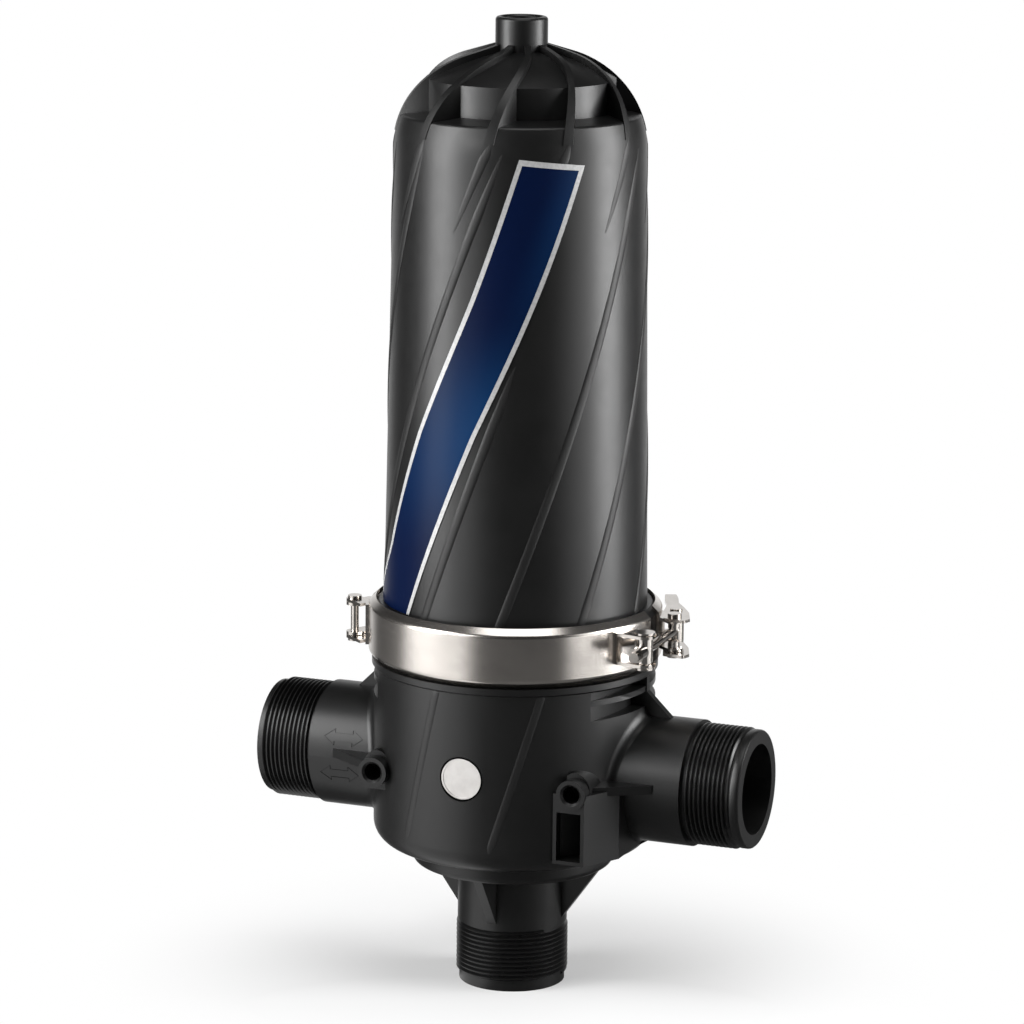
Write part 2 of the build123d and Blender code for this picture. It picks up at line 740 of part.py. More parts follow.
def rear_latch_bracket():
    """Bracket on the rear half whose two arms reach forward to the lever's pivot."""
    start, end = clamp_rear_end, clamp_rear_end + rear_plate_span
    bracket = band_plate(start, end, rear_ear_half, latch_z)
    foot = at(clamp_rear_end + rear_plate_span / 3, clamp_r)
    for z in (latch_z + rear_ear_half - latch_sheet, latch_z - rear_ear_half):
        bracket += outside_band(ear(pivot_at, foot, z, latch_sheet, rear_arm_end_r, rear_arm_end_r))
    return bracket - Pos(pivot_at.X, pivot_at.Y, 0) * tube(lever_pin_r + pin_fit, 0, 0, overall_height)


disc_outer_r = lid_top_r - lid_wall - disc_room
cartridge_r = disc_outer_r + plate_overhang
helix_ring_r = disc_outer_r + helix_ring_out
plate_low_z = riser_top_z + face_gap
plate_top_z = plate_low_z + cartridge_plate
disc_low_z = plate_top_z + disc_start
retainer_z = shoulder_z - retainer_drop
spring_low_z = retainer_z - spring_room
cap_low_z = spring_low_z - cap_thick
disc_high_z = cap_low_z - face_gap
disc_pack_height = (disc_high_z - disc_low_z) / disc_pack_count
spigot_r = bottom_bore_r - spigot_fit
spigot_low_z = riser_top_z - spigot_length


def cartridge_base():
    """Bottom plate of the cartridge with a spigot in the riser and a raised seat for the discs."""
    base = tube(cartridge_r, 0, plate_low_z, plate_top_z)
    base += tube(spigot_r, 0, spigot_low_z, plate_low_z)
    base += tube(disc_outer_r - plate_overhang, 0, plate_top_z, disc_low_z - face_gap)
    base -= tube(spine_r + slide_fit, 0, plate_top_z, disc_low_z)
    base -= tube(spigot_bore_r, 0, spigot_low_z, plate_top_z)
    base -= spigot_seal_groove()
    hub_r = rod_r + hub_wall
    for k in range(3):
        spoke = Pos(rod_r, 0, plate_low_z) * Box(
            spigot_bore_r - rod_r + 1, spoke_thick, cartridge_plate,
            align=(Align.MIN, Align.CENTER, Align.MIN))
        base += Rot(0, 0, 120 * k) * spoke
    base += tube(hub_r, 0, plate_low_z, plate_top_z)
    return base - tube(rod_r + thread_fit, 0, plate_low_z, plate_top_z)


def spigot_seal_groove():
    z = (riser_top_z + spigot_low_z) / 2
    half = spigot_seal_r + face_gap
    return tube(spigot_r + 1, spigot_r - spigot_seal_depth, z - half, z + half)


def cartridge_seal():
    z = (riser_top_z + spigot_low_z) / 2
    return Pos(0, 0, z) * Torus(bottom_bore_r - spigot_seal_r - thread_fit, spigot_seal_r)


def helix_ring():
    """Two thin hoops joined by tilted vanes, which set the incoming water spinning."""
    inner = disc_outer_r + disc_fit
    lower_inner = disc_outer_r - plate_overhang + slide_fit
    low_top, high = plate_top_z + helix_band_height, plate_top_z + helix_ring_height
    ring = tube(cartridge_r, lower_inner, plate_top_z, low_top)
    ring += tube(helix_ring_r, inner, high - helix_band_height, high)
    vane_width = helix_ring_r - inner - 1
    vane_length = helix_ring_height / sin(radians(vane_tilt_deg))
    for k in range(vane_count):
        vane = Rot(90 - vane_tilt_deg, 0, 0) * Box(vane_width, vane_thick, vane_length)
        vane = Pos((helix_ring_r + inner) / 2, 0, (plate_top_z + high) / 2) * vane
        ring += Rot(0, 0, 360 / vane_count * k) * vane
    keep = tube(helix_ring_r, inner, low_top, high) + tube(cartridge_r, lower_inner, plate_top_z, low_top)
    return ring & keep


def spine():
    """Slotted tube inside the discs, with a closed top that carries the spring retainer."""
    shape = tube(spine_r, spine_r - spine_wall, plate_top_z, retainer_z)
    shape += tube(spine_r - spine_wall, rod_r + slide_fit, retainer_z - spine_head, retainer_z)
    window_angle = 360 / spine_window_count
    opening = 2 * pi * spine_r / spine_window_count - spine_rod_width
    window_low, window_high = plate_top_z + spine_foot, disc_high_z - spine_foot / 2
    for k in range(spine_window_count // 2):
        window = Box(3 * spine_r, opening, window_high - window_low,
                     align=(Align.CENTER, Align.CENTER, Align.MIN))
        shape -= Rot(0, 0, window_angle * k) * Pos(0, 0, window_low) * window
    return shape


def disc_stack():
    """Packs of grooved discs, which turn together about the spine."""
    packs = []
    for k in range(disc_pack_count):
        low = disc_low_z + k * disc_pack_height
        packs.append(tube(disc_outer_r, spine_r + disc_fit, low, low + disc_pack_height - disc_pack_gap))
    return Compound(children=packs)


def compression_cap():
    """Ring that presses on the discs and slides on the spine, with a rim that centres the spring."""
    cap = tube(disc_outer_r, spine_r + disc_fit, cap_low_z, spring_low_z)
    return cap + tube(disc_outer_r, disc_outer_r - cap_rim, spring_low_z, spring_low_z + cap_rim_height)


def spring():
    """Compression spring between the cap and the retainer."""
    room = spring_room - 2 * spring_wire_r - face_gap
    mean_r = (spine_r + disc_outer_r - cap_rim) / 2
    path = Helix(room / spring_turns, room, mean_r)
    section = Plane(origin=path @ 0, z_dir=path % 0) * RegularPolygon(spring_wire_r, 8)
    return Pos(0, 0, spring_low_z + spring_wire_r + face_gap / 2) * sweep(section, path)


def spring_retainer():
    return tube(disc_outer_r - retainer_inset, rod_r + slide_fit, retainer_z, retainer_z + retainer_thick)


def tie_rod():
    return tube(rod_r, 0, plate_low_z, retainer_z + retainer_thick + rod_nut_height + rod_end)


def top_nut():
    low = retainer_z + retainer_thick
    nut = Pos(0, 0, low) * extrude(RegularPolygon(rod_nut_r, 6), rod_nut_height)
    return nut - tube(rod_r + thread_fit, 0, low, low + rod_nut_height)


pieces = {
    "base_body": base_body,
    "marker_disc": marker_disc,
    "lid": lid,
    "lid_seal": lid_seal,
    "clamp_front_half": lambda: clamp_band(clamp_hinge_bearing + clamp_hinge_split, clamp_front_end),
    "clamp_rear_half": lambda: clamp_band(clamp_rear_end, 360 + clamp_hinge_bearing - clamp_hinge_split),
    "front_hinge_bracket": lambda: hinge_bracket(1, hinge_ear_half_height),
    "rear_hinge_bracket": lambda: hinge_bracket(-1, hinge_ear_half_height - hinge_ear_thick - ear_fit),
    "hinge_pin": lambda: headed_pin(at(clamp_hinge_bearing, clamp_r + hinge_pin_out), hinge_pin_r,
                                    parting_z - hinge_ear_half_height, parting_z + hinge_ear_half_height,
                                    pin_head_r, pin_head_thick),
    "front_latch_bracket": front_latch_bracket,
    "rear_latch_bracket": rear_latch_bracket,
    "lever_studs": lever_studs,
    "latch_lever": latch_lever,
    "bolt_pin": lambda: headed_pin(bolt_pin_at, lever_pin_r, latch_z - lever_half_height,
                                   latch_z + lever_half_height, pin_head_r - 0.4, pin_head_thick - 0.4),
    "draw_bolt": draw_bolt,
    "bolt_barrel": bolt_barrel,
    "adjusting_nut": adjusting_nut,
    "cartridge_base": cartridge_base,
    "cartridge_seal": cartridge_seal,
    "helix_ring": helix_ring,
    "spine": spine,
    "disc_stack": disc_stack,
    "compression_cap": compression_cap,
    "spring": spring,
    "spring_retainer": spring_retainer,
    "tie_rod": tie_rod,
    "top_nut": top_nut,
}

for name, make in pieces.items():
    write(make(), name)
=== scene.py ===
from math import asin, atan2, cos, hypot, pi, radians, sin

import bmesh
import bpy
from mathutils import Matrix, Vector


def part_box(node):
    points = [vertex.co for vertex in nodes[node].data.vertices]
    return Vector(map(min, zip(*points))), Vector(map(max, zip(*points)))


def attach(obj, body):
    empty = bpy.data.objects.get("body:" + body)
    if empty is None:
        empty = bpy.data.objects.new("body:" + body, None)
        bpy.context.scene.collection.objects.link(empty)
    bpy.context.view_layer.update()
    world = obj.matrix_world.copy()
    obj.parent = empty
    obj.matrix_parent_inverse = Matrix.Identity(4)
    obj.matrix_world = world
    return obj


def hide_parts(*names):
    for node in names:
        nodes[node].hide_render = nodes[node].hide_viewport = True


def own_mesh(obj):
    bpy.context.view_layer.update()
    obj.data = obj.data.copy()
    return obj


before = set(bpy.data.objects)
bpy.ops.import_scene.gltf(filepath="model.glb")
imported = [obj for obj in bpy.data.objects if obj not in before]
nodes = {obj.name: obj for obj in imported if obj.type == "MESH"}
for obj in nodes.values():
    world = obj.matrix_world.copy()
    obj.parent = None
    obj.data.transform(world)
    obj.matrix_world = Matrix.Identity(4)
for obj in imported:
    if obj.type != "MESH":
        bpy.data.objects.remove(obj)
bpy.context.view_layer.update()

MM = 0.001


# Shader values and finishes

class Value:
    """A node's output that takes part in Python sums, each of which adds a Math node."""

    def __init__(self, finish, socket):
        self.finish = finish
        self.socket = socket

    def __add__(self, other):
        return self.finish.math("ADD", self, other)

    def __radd__(self, other):
        return self.finish.math("ADD", other, self)

    def __sub__(self, other):
        return self.finish.math("SUBTRACT", self, other)

    def __rsub__(self, other):
        return self.finish.math("SUBTRACT", other, self)

    def __mul__(self, other):
        return self.finish.math("MULTIPLY", self, other)

    def __rmul__(self, other):
        return self.finish.math("MULTIPLY", other, self)

    def __lt__(self, other):
        return self.finish.math("LESS_THAN", self, other)

    def between(self, low, high):
        """0 at low and below, 1 at high and above, smooth in between; low may be the larger."""
        settings = {"interpolation_type": "SMOOTHSTEP"}
        return self.finish.node("MapRange", settings, {"Value": self, "From Min": low, "From Max": high})


class Finish:
    """A material, or the room's light, under construction."""

    def __init__(self, name, kept_in=None):
        self.material = (bpy.data.materials if kept_in is None else kept_in).new(name)
        self.material.use_nodes = True
        self.tree = self.material.node_tree
        self.tree.nodes.clear()

    def node(self, kind, settings=None, inputs=None, out=0):
        """Adds a node: its settings first, then its sockets' values or links; returns one output."""
        made = self.tree.nodes.new("ShaderNode" + kind)
        for key, value in (settings or {}).items():
            setattr(made, key, value)
        for key, value in (inputs or {}).items():
            socket = self.socket_of(made.inputs, key)
            if isinstance(value, Value):
                self.tree.links.new(value.socket, socket)
            else:
                socket.default_value = value
        return None if out is None else Value(self, self.socket_of(made.outputs, out))

    @staticmethod
    def socket_of(sockets, key):
        """A socket by its number, its identifier or its name."""
        if isinstance(key, int):
            return sockets[key]
        for socket in sockets:
            if socket.identifier == key:
                return socket
        return sockets[key]

    def math(self, operation, *inputs):
        return self.node("Math", {"operation": operation}, dict(enumerate(inputs)))

    def place(self):
        """The point on the piece, in metres."""
        return self.node("TexCoord", out="Object")

    def parts(self, vector, axes="XYZ"):
        """A vector's numbers along the named axes."""
        split = self.node("SeparateXYZ", inputs={0: vector})
        return [Value(self, split.socket.node.outputs[axis]) for axis in axes]

    def vector(self, x, y, z):
        return self.node("CombineXYZ", inputs={0: x, 1: y, 2: z})

    def noise(self, where, scale, detail, rough):
        return self.node("TexNoise", None, {
            "Vector": where, "Scale": scale, "Detail": detail, "Roughness": rough})

    def mix(self, share, first, second):
        """A colour between two others."""
        return self.node("Mix", {"data_type": "RGBA"},
                         {"Factor_Float": share, "A_Color": first, "B_Color": second}, "Result_Color")

    def bump(self, height, depth):
        return self.node("Bump", None, {"Height": height, "Distance": depth})

    def surface(self, **values):
        """Ends the material in a Principled shader; underscores stand for spaces in its sockets' names."""
        inputs = {key.replace("_", " "): value for key, value in values.items()}
        self.finish_with(self.node("BsdfPrincipled", None, inputs))
        return self.material

    def finish_with(self, shader):
        kind = "World" if isinstance(self.material, bpy.types.World) else "Material"
        self.node("Output" + kind, inputs={"Surface": shader}, out=None)


def grey(level):
    return (level, level, level, 1.0)


def moulded_plastic(name, dark, light, roughness, grain_depth=0.01 * MM, specular=0.42):
    """Moulded plastic with a fine spark-eroded grain and faint flow marks."""
    finish = Finish(name)
    place = finish.place()
    grain = finish.noise(place, scale=1500.0, detail=3.0, rough=0.6)
    flow = finish.noise(place, scale=22.0, detail=3.0, rough=0.55)
    wear = finish.noise(place, scale=160.0, detail=4.0, rough=0.6)
    colour = finish.mix(flow.between(0.3, 0.7), dark, light)
    rough = roughness + (wear - 0.5) * 0.10 + (grain - 0.5) * 0.12
    return finish.surface(Base_Color=colour, Roughness=rough, Normal=finish.bump(grain, grain_depth),
                          Specular_IOR_Level=specular)


def drawn_steel(name, colour, roughness, along_band):
    """Stainless sheet: brushed round the band, or tumbled bright on the small fittings."""
    finish = Finish(name)
    place = finish.place()
    if along_band:
        x, y, z = finish.parts(place)
        round_band, across_band = finish.math("ARCTAN2", y, x) * 2.5, z * 2600.0
        brushed = finish.vector(round_band, across_band, 0.0)
        lines = finish.noise(brushed, scale=1.0, detail=3.0, rough=0.6)
    else:
        lines = finish.noise(place, scale=900.0, detail=2.0, rough=0.5)
    smear = finish.noise(place, scale=60.0, detail=4.0, rough=0.6)
    dulled = tuple(0.90 * c for c in colour[:3]) + (1.0,)
    rough = roughness + (lines - 0.5) * 0.14 + (smear - 0.5) * 0.08
    return finish.surface(Base_Color=finish.mix(smear.between(0.35, 0.65), colour, dulled), Metallic=1.0,
                          Roughness=rough, Normal=finish.bump(lines, 0.012 * MM))


def marker_metal(centre_z):
    """Pale stamped disc, satin, with faint turned rings."""
    finish = Finish("stamped_marker")
    place = finish.place()
    x, z = finish.parts(place, "XZ")
    rise = z - centre_z
    rings = finish.math("SINE", finish.math("SQRT", x * x + rise * rise) * 9000.0)
    cloud = finish.noise(place, scale=160.0, detail=3.0, rough=0.5)
    colour = finish.mix(cloud.between(0.3, 0.7), (0.74, 0.72, 0.70, 1.0), (0.66, 0.64, 0.62, 1.0))
    return finish.surface(Base_Color=colour, Metallic=0.95, Roughness=0.34 + (cloud - 0.5) * 0.12,
                          Normal=finish.bump(rings * 0.3 + cloud, 0.008 * MM))


def label_film():
    """Blank film: a silver edge round a field that runs from navy to a brighter blue and back; the
    brighter blue is partly print and partly a painted highlight of the lamps' sheen.

    It reads the label's own attributes: the distances in millimetres from the nearer side and
    from the top, and the share of the width."""
    finish = Finish("label_film")
    side, across, down = (finish.node("Attribute", {"attribute_name": name}, out="Fac")
                          for name in ("side", "across", "down"))
    side_edge, top_edge = 2.2, 2.6
    silver_edge = finish.math("MAXIMUM", side < side_edge, down < top_edge)
    # partly print and partly painted highlight: the brighter blue bands paint the lamps' sheen into the
    # film's colour
    mid_print_and_sheen = down.between(70.0, 125.0) * down.between(195.0, 130.0) * (0.35 + 0.65 * across)
    right_print_and_sheen = across.between(0.45, 1.0) * down.between(110.0, 20.0) * 0.45
    navy, blue = (0.0010, 0.0050, 0.0270, 1.0), (0.0020, 0.0250, 0.0840, 1.0)
    field = finish.mix(mid_print_and_sheen + right_print_and_sheen, navy, blue)
    fleck = finish.noise(finish.place(), scale=700.0, detail=3.0, rough=0.5)
    silver = finish.mix(fleck.between(0.3, 0.7), grey(0.46), grey(0.38))
    colour = finish.mix(silver_edge, field, silver)
    rough = 0.36 + silver_edge * 0.16 + (fleck - 0.5) * 0.08
    return finish.surface(Base_Color=colour, Metallic=silver_edge * 0.3, Roughness=rough,
                          Specular_IOR_Level=0.08, Normal=finish.bump(fleck, 0.006 * MM))


def ring_rubber():
    finish = Finish("seal_rubber")
    bloom = finish.noise(finish.place(), scale=500.0, detail=4.0, rough=0.6)
    colour = finish.mix(bloom, grey(0.010), grey(0.022))
    return finish.surface(Base_Color=colour, Roughness=0.6 + (bloom - 0.5) * 0.2,
                          Normal=finish.bump(bloom, 0.04 * MM))


def grooved_discs():
    """Red disc packs, with one line for each thin disc."""
    finish = Finish("grooved_discs")
    place = finish.place()
    [z] = finish.parts(place, "Z")
    slits = finish.math("SINE", z * 7200.0)
    cloud = finish.noise(place, scale=300.0, detail=3.0, rough=0.5)
    colour = finish.mix(cloud, (0.30, 0.012, 0.010, 1.0), (0.42, 0.022, 0.018, 1.0))
    return finish.surface(Base_Color=colour, Roughness=0.45 + (cloud - 0.5) * 0.1,
                          Normal=finish.bump(slits, 0.2 * MM))


black = moulded_plastic("moulded_black", grey(0.0042), grey(0.0060), 0.37)
strip_black = moulded_plastic("strip_black", grey(0.0052), grey(0.0075), 0.50)
# painted shade: a near-black, rough plastic that hardly reflects, standing in for the shade inside narrow
# grooves and gaps
painted_groove_shade = moulded_plastic("painted_groove_shade", grey(0.0008), grey(0.0014), 0.85, specular=0.05)
inner_black = moulded_plastic("cartridge_black", grey(0.020), grey(0.030), 0.45)
thread_black = moulded_plastic("thread_black", grey(0.0040), grey(0.0058), 0.30, grain_depth=0.003 * MM)
band_steel = drawn_steel("band_steel", (0.66, 0.62, 0.58, 1.0), 0.22, True)
fitting_steel = drawn_steel("fitting_steel", (0.60, 0.565, 0.53, 1.0), 0.15, False)
spring_steel = drawn_steel("spring_steel", (0.55, 0.54, 0.53, 1.0), 0.30, False)
marker_low, marker_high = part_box("marker_disc")
marker_mid = (marker_low + marker_high) / 2
marker = marker_metal(marker_mid.z)
rubber = ring_rubber()
discs = grooved_discs()

# The CAD pieces' finishes; a piece that isn't named is one of the clamp's tumbled steel fittings
finishes = {
    "base_body": black, "lid": black, "marker_disc": marker, "lid_seal": rubber, "cartridge_seal": rubber,
    "clamp_front_half": band_steel, "clamp_rear_half": band_steel, "cartridge_base": inner_black,
    "helix_ring": inner_black, "spine": inner_black, "compression_cap": inner_black,
    "disc_stack": discs, "spring": spring_steel, "spring_retainer": spring_steel,
    "tie_rod": spring_steel, "top_nut": spring_steel,
}
for name, piece in nodes.items():
    piece.data.materials.clear()
    piece.data.materials.append(finishes.get(name, fitting_steel))


# Steps that the pieces share

def finished(bm, name, material, smooth, body="housing"):
    """Turns a bmesh into a piece that rides on a body, shaded smooth up to an angle in degrees."""
    bmesh.ops.remove_doubles(bm, verts=bm.verts, dist=0.002 * MM)
    bmesh.ops.recalc_face_normals(bm, faces=bm.faces)
    mesh = bpy.data.meshes.new(name)
    bm.to_mesh(mesh)
    bm.free()
    piece = bpy.data.objects.new(name, mesh)
    bpy.context.scene.collection.objects.link(piece)
    mesh.materials.append(material)
    mesh.shade_smooth()
    mesh.set_sharp_from_angle(angle=radians(smooth))
    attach(piece, body)
    return piece


def cut(bm, place, facing):
    """Adds edges where a plane crosses the mesh."""
    bmesh.ops.bisect_plane(bm, geom=bm.verts[:] + bm.edges[:] + bm.faces[:], dist=1e-7,
                           plane_co=place, plane_no=facing)


def thicken(bm, height):
    """Raises a flat figure by a height, with walls along its edges."""
    made = bmesh.ops.extrude_face_region(bm, geom=bm.faces[:])["geom"]
    raised = [g for g in made if isinstance(g, bmesh.types.BMVert)]
    bmesh.ops.translate(bm, vec=(0, 0, height), verts=raised)


def hollow(bm, width):
    """Leaves only a border of a width inside the edge of a flat figure."""
    [middle] = bm.faces
    bmesh.ops.inset_region(bm, faces=[middle], thickness=width,
                           use_boundary=True, use_even_offset=True)
    bmesh.ops.delete(bm, geom=[middle], context="FACES")


def wind(bm, geom, turns, steps, rise, merge=False):
    """Spins a section round the upright axis, with an even rise in all."""
    bmesh.ops.spin(bm, geom=geom, axis=(0, 0, 1), cent=(0, 0, 0), angle=2 * pi * turns, steps=steps,
                   dvec=(0, 0, rise / steps), use_merge=merge)


def round_axis(angle, radius, z):
    """The point at an angle to the left or right of straight ahead, at a radius and a height."""
    return radius * sin(angle), -radius * cos(angle), z


# The housing's walls, whose radius carries the strips, the label and the painted shadow in the marker's
# gap
lid_bottom_r, lid_top_r = 64.6 * MM, 61.0 * MM
cone_low, cone_high = 193.5 * MM, 415.5 * MM
crown_arc_r = 48.0 * MM
body_wall_r = 69.3 * MM
sunk = 0.02 * MM  # how far a raised mark starts under its wall


def lid_r(z):
    """The lid's radius at a height, on its cone and on the arc over it."""
    if z > cone_high:
        return lid_top_r - crown_arc_r * (1 - cos(asin((z - cone_high) / crown_arc_r)))
    return lid_bottom_r + (lid_top_r - lid_bottom_r) * (z - cone_low) / (cone_high - cone_low)


def body_r(z):
    """The base's radius, which is the same wherever it carries a strip."""
    return body_wall_r


# Threads on the three ports, a collar and two arrows
port_z = 110.7 * MM
port_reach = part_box("base_body")[1].x
to_right = Matrix.Translation((0, 0, port_z)) @ Matrix.Rotation(pi / 2, 4, "Y")
to_left = Matrix.Translation((0, 0, port_z)) @ Matrix.Rotation(-pi / 2, 4, "Y")
thread_pitch = 25.4 / 11 * MM  # 11 threads to the inch


def thread(name, turn, root_r, crest_r, start, end):
    """One V-shaped ridge wound on a port, fading out at both ends; turn lays +Z along the port."""
    turns = (end - start) / thread_pitch - 1.0
    steps_per_turn = 72
    half_root, half_crest = 0.46 * thread_pitch, 0.10 * thread_pitch
    buried_r, faded_r = root_r - 0.6 * MM, root_r - 0.3 * MM
    outline = [(buried_r, -half_root), (root_r, -half_root), (crest_r, -half_crest),
               (crest_r, half_crest), (root_r, half_root), (buried_r, half_root)]
    bm = bmesh.new()
    section = bm.faces.new([bm.verts.new((r, 0, start + thread_pitch / 2 + z)) for r, z in outline])
    wind(bm, [section], turns, int(turns * steps_per_turn), thread_pitch * turns)
    fade = 0.75 * thread_pitch
    foot, head = start + thread_pitch / 2 - half_root, end - thread_pitch / 2 + half_root
    for vert in bm.verts:
        radius = hypot(vert.co.x, vert.co.y)
        if radius > root_r - 0.1 * MM:
            share = min(1.0, max(0.0, (vert.co.z - foot) / fade), max(0.0, (head - vert.co.z) / fade))
            vert.co.xy *= (faded_r + (radius - faded_r) * share) / radius
    bmesh.ops.transform(bm, matrix=turn, verts=bm.verts)
    finished(bm, name, thread_black, 25.0)


def spun_ring(name, turn, outline, material):
    """Closed ring: an outline of radius and height spun once round the axis that turn gives."""
    bm = bmesh.new()
    corners = [bm.verts.new((r, 0, z)) for r, z in outline]
    edges = [bm.edges.new((a, b)) for a, b in zip(corners, corners[1:] + corners[:1])]
    wind(bm, corners + edges, 1.0, 128, 0.0, merge=True)
    bmesh.ops.transform(bm, matrix=turn, verts=bm.verts)
    finished(bm, name, material, 35.0)


def flow_arrow(name, centre_x, bearing, proud):
    """Outline of a plain two-headed arrow, wrapped on the left neck at a bearing above its front; its
    near-black line is painted shade that stands in for the shade in the arrow's groove.
    """
    neck_r, line_width, lane = 31.0 * MM, 0.8 * MM, 0.5 * MM
    half = [(-10.3, 0), (-4.8, 4.1), (-4.8, 2.1), (4.8, 2.1), (4.8, 4.1), (10.3, 0)]
    bm = bmesh.new()
    bm.faces.new([bm.verts.new((x * MM, y * MM, 0))
                  for x, y in half + [(x, -y) for x, y in reversed(half[1:-1])]])
    hollow(bm, line_width)
    thicken(bm, proud)
    for k in range(-7, 8):
        cut(bm, (0, lane * k, 0), (0, 1, 0))
    for vert in bm.verts:
        x, along, out = vert.co
        angle = radians(bearing) + along / neck_r
        reach = neck_r + out - sunk
        vert.co = (centre_x + x, -reach * cos(angle), port_z + reach * sin(angle))
    finished(bm, name, painted_groove_shade, 25.0)


side_root_r, side_crest_r = 28.32 * MM, 29.8 * MM
side_start = port_reach - 29.5 * MM
thread("right_thread", to_right, side_root_r, side_crest_r, side_start, port_reach - 4.5 * MM)
thread("left_thread", to_left, side_root_r, side_crest_r, side_start, port_reach - 1.8 * MM)
thread("bottom_thread", Matrix.Identity(4), 26.22 * MM, 27.7 * MM, 3.5 * MM, 31.0 * MM)
collar = [(28.2, 4.6), (28.9, 4.3), (29.1, 3.9), (29.1, 1.3), (28.95, 0.6), (28.5, 0.1), (28.2, 0.05)]
spun_ring("right_collar", to_right, [(r * MM, port_reach - back * MM) for r, back in collar], black)
flow_arrow("flow_arrow_upper", -79.2 * MM, 19.8, 0.30 * MM)
flow_arrow("flow_arrow_lower", -81.0 * MM, -14.7, 0.25 * MM)

# Painted shadow in the gap round the marker: a near-black flat ring bent on the base's wall
marker_r, gap_width, gap_proud = (marker_high.z - marker_low.z) / 2, 0.75 * MM, 0.06 * MM
bm = bmesh.new()
bmesh.ops.create_circle(bm, cap_ends=True, segments=96, radius=marker_r + gap_width)
hollow(bm, gap_width)
thicken(bm, gap_proud)
for vert in bm.verts:
    x, rise, out = vert.co
    angle = atan2(marker_mid.x, -marker_mid.y) + x / body_wall_r
    vert.co = round_axis(angle, body_wall_r + out - sunk, marker_mid.z + rise)
finished(bm, "marker_gap_painted_shadow", painted_groove_shade, 25.0)


# Raised strips on the lid, a faint streak under the foot of each fin, and strips on the base

def helical_strip(name, radius_at, bearing, twist, low, high, width, proud, fades):
    """Shallow strip with a rounded back that winds up to the right.

    Its foot and its top fade over the two lengths in fades. The bearing is its foot's, in degrees
    from straight ahead, and the twist is in degrees a millimetre."""
    rungs, lanes = 48, 8
    least_proud = 0.02 * MM
    least_share = 0.04  # leaves a fifth of the width at the two ends
    bm = bmesh.new()
    bmesh.ops.create_cube(bm, size=1.0, matrix=Matrix.Translation((0, 0, (low + high) / 2))
                          @ Matrix.Diagonal((width, 2 * proud, high - low, 1)))
    for k in range(1, rungs):
        cut(bm, (0, 0, low + (high - low) * k / rungs), (0, 0, 1))
    for k in range(1, lanes):
        cut(bm, (width * (k / lanes - 0.5), 0, 0), (1, 0, 0))
    for vert in bm.verts:
        x, out, z = vert.co
        share = min(1.0, (z - low) / fades[0], (high - z) / fades[1])
        if out > 0:
            out = least_proud + proud * share * (1 - abs(2 * x / width) ** 3)
        wall = radius_at(z)
        along = x * max(least_share, share) ** 0.5
        angle = radians(bearing) + along / wall + radians(twist) / MM * (z - low)
        vert.co = round_axis(angle, wall + out, z)
    finished(bm, name, strip_black, 60.0)


fin_step = 36.0  # degrees from one fin to the next
strip_foot, strip_top, strip_bearing_z = 190.0 * MM, 420.0 * MM, 206.0 * MM
lid_strips = [(-98.0, 0.33, strip_top), (-64.6, 0.365, strip_top), (-17.3, 0.33, 320.0 * MM)]
lid_strips += [(18.7 + fin_step * k, 0.33, strip_top) for k in range(7)]
for k, (bearing, twist, top) in enumerate(lid_strips):
    foot_bearing = bearing - twist * (strip_bearing_z - strip_foot) / MM
    helical_strip(f"lid_strip_{k}", lid_r, foot_bearing, twist, low=strip_foot, high=top,
                  width=4.8 * MM, proud=0.38 * MM, fades=(3.0 * MM, 30.0 * MM))
for k in range(10):
    helical_strip(f"fin_streak_{k}", lid_r, -9.0 + fin_step * k, 0.40, low=382.0 * MM, high=424.5 * MM,
                  width=5.2 * MM, proud=0.34 * MM, fades=(38.0 * MM, 7.0 * MM))
for k, (bearing, twist) in enumerate(((12.0, 0.26), (-27.0, 0.20), (151.0, 0.24), (198.0, 0.24))):
    helical_strip(f"body_strip_{k}", body_r, bearing, twist, low=83.0 * MM, high=161.9 * MM,
                  width=4.2 * MM, proud=0.25 * MM, fades=(4.0 * MM, 1.0 * MM))

# The cartridge's spring, wound as a coil in place of the part's own spring
spring_low, spring_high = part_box("spring")
wire_r = 1.6 * MM
bm = bmesh.new()
bmesh.ops.create_circle(bm, cap_ends=True, segments=16, radius=wire_r, matrix=Matrix.Translation(
    (spring_high.x - wire_r, 0, spring_low.z + wire_r)) @ Matrix.Rotation(pi / 2, 4, "X"))
wind(bm, bm.faces[:], 4, 256, spring_high.z - spring_low.z - 2 * wire_r)
coil = finished(bm, "coil_spring", spring_steel, 35.0)
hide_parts("spring")
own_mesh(coil)

# Label: a thin film bent round the lid
label_low, label_high = 194.0 * MM, 416.5 * MM
label_slant, label_proud = 3.3 * MM, 0.45 * MM


def label_edges(z):
    """Bearings of the label's left and right edge at a height, in degrees; it broadens at both ends."""
    height = z / MM
    right = -29.5 + 0.3697 * (height - 196.9) + 2.1 * max(0.0, sin(pi * (height - 285.0) / 132.0))
    high_share = max(0.0, (height - 350.0) / 66.0)
    low_share = min(1.0, max(0.0, (228.0 - height) / 40.0))
    return right - 29.4 - 1.7 * high_share - 9.0 * low_share * low_share * (3 - 2 * low_share), right


lean = 0.93  # the edges lean, so they are a little nearer than a level distance says
bm = bmesh.new()
side_layer, across_layer, down_layer = (
    bm.verts.layers.float.new(name) for name in ("side", "across", "down"))
bmesh.ops.create_grid(bm, x_segments=24, y_segments=96, size=0.5)
for vert in bm.verts:
    u, v = vert.co.x + 0.5, vert.co.y + 0.5
    z = label_low + (label_high - label_low) * v + label_slant * (0.5 - u) * v
    left, right = label_edges(z)
    radius = lid_r(z) + label_proud
    vert[side_layer] = lean * radians(right - left) * radius / MM * min(u, 1 - u)
    vert[across_layer] = u
    vert[down_layer] = (1 - v) * (label_high - label_low) / MM
    vert.co = round_axis(radians(left + (right - left) * u), radius, z)
finished(bm, "label", label_film(), 60.0)

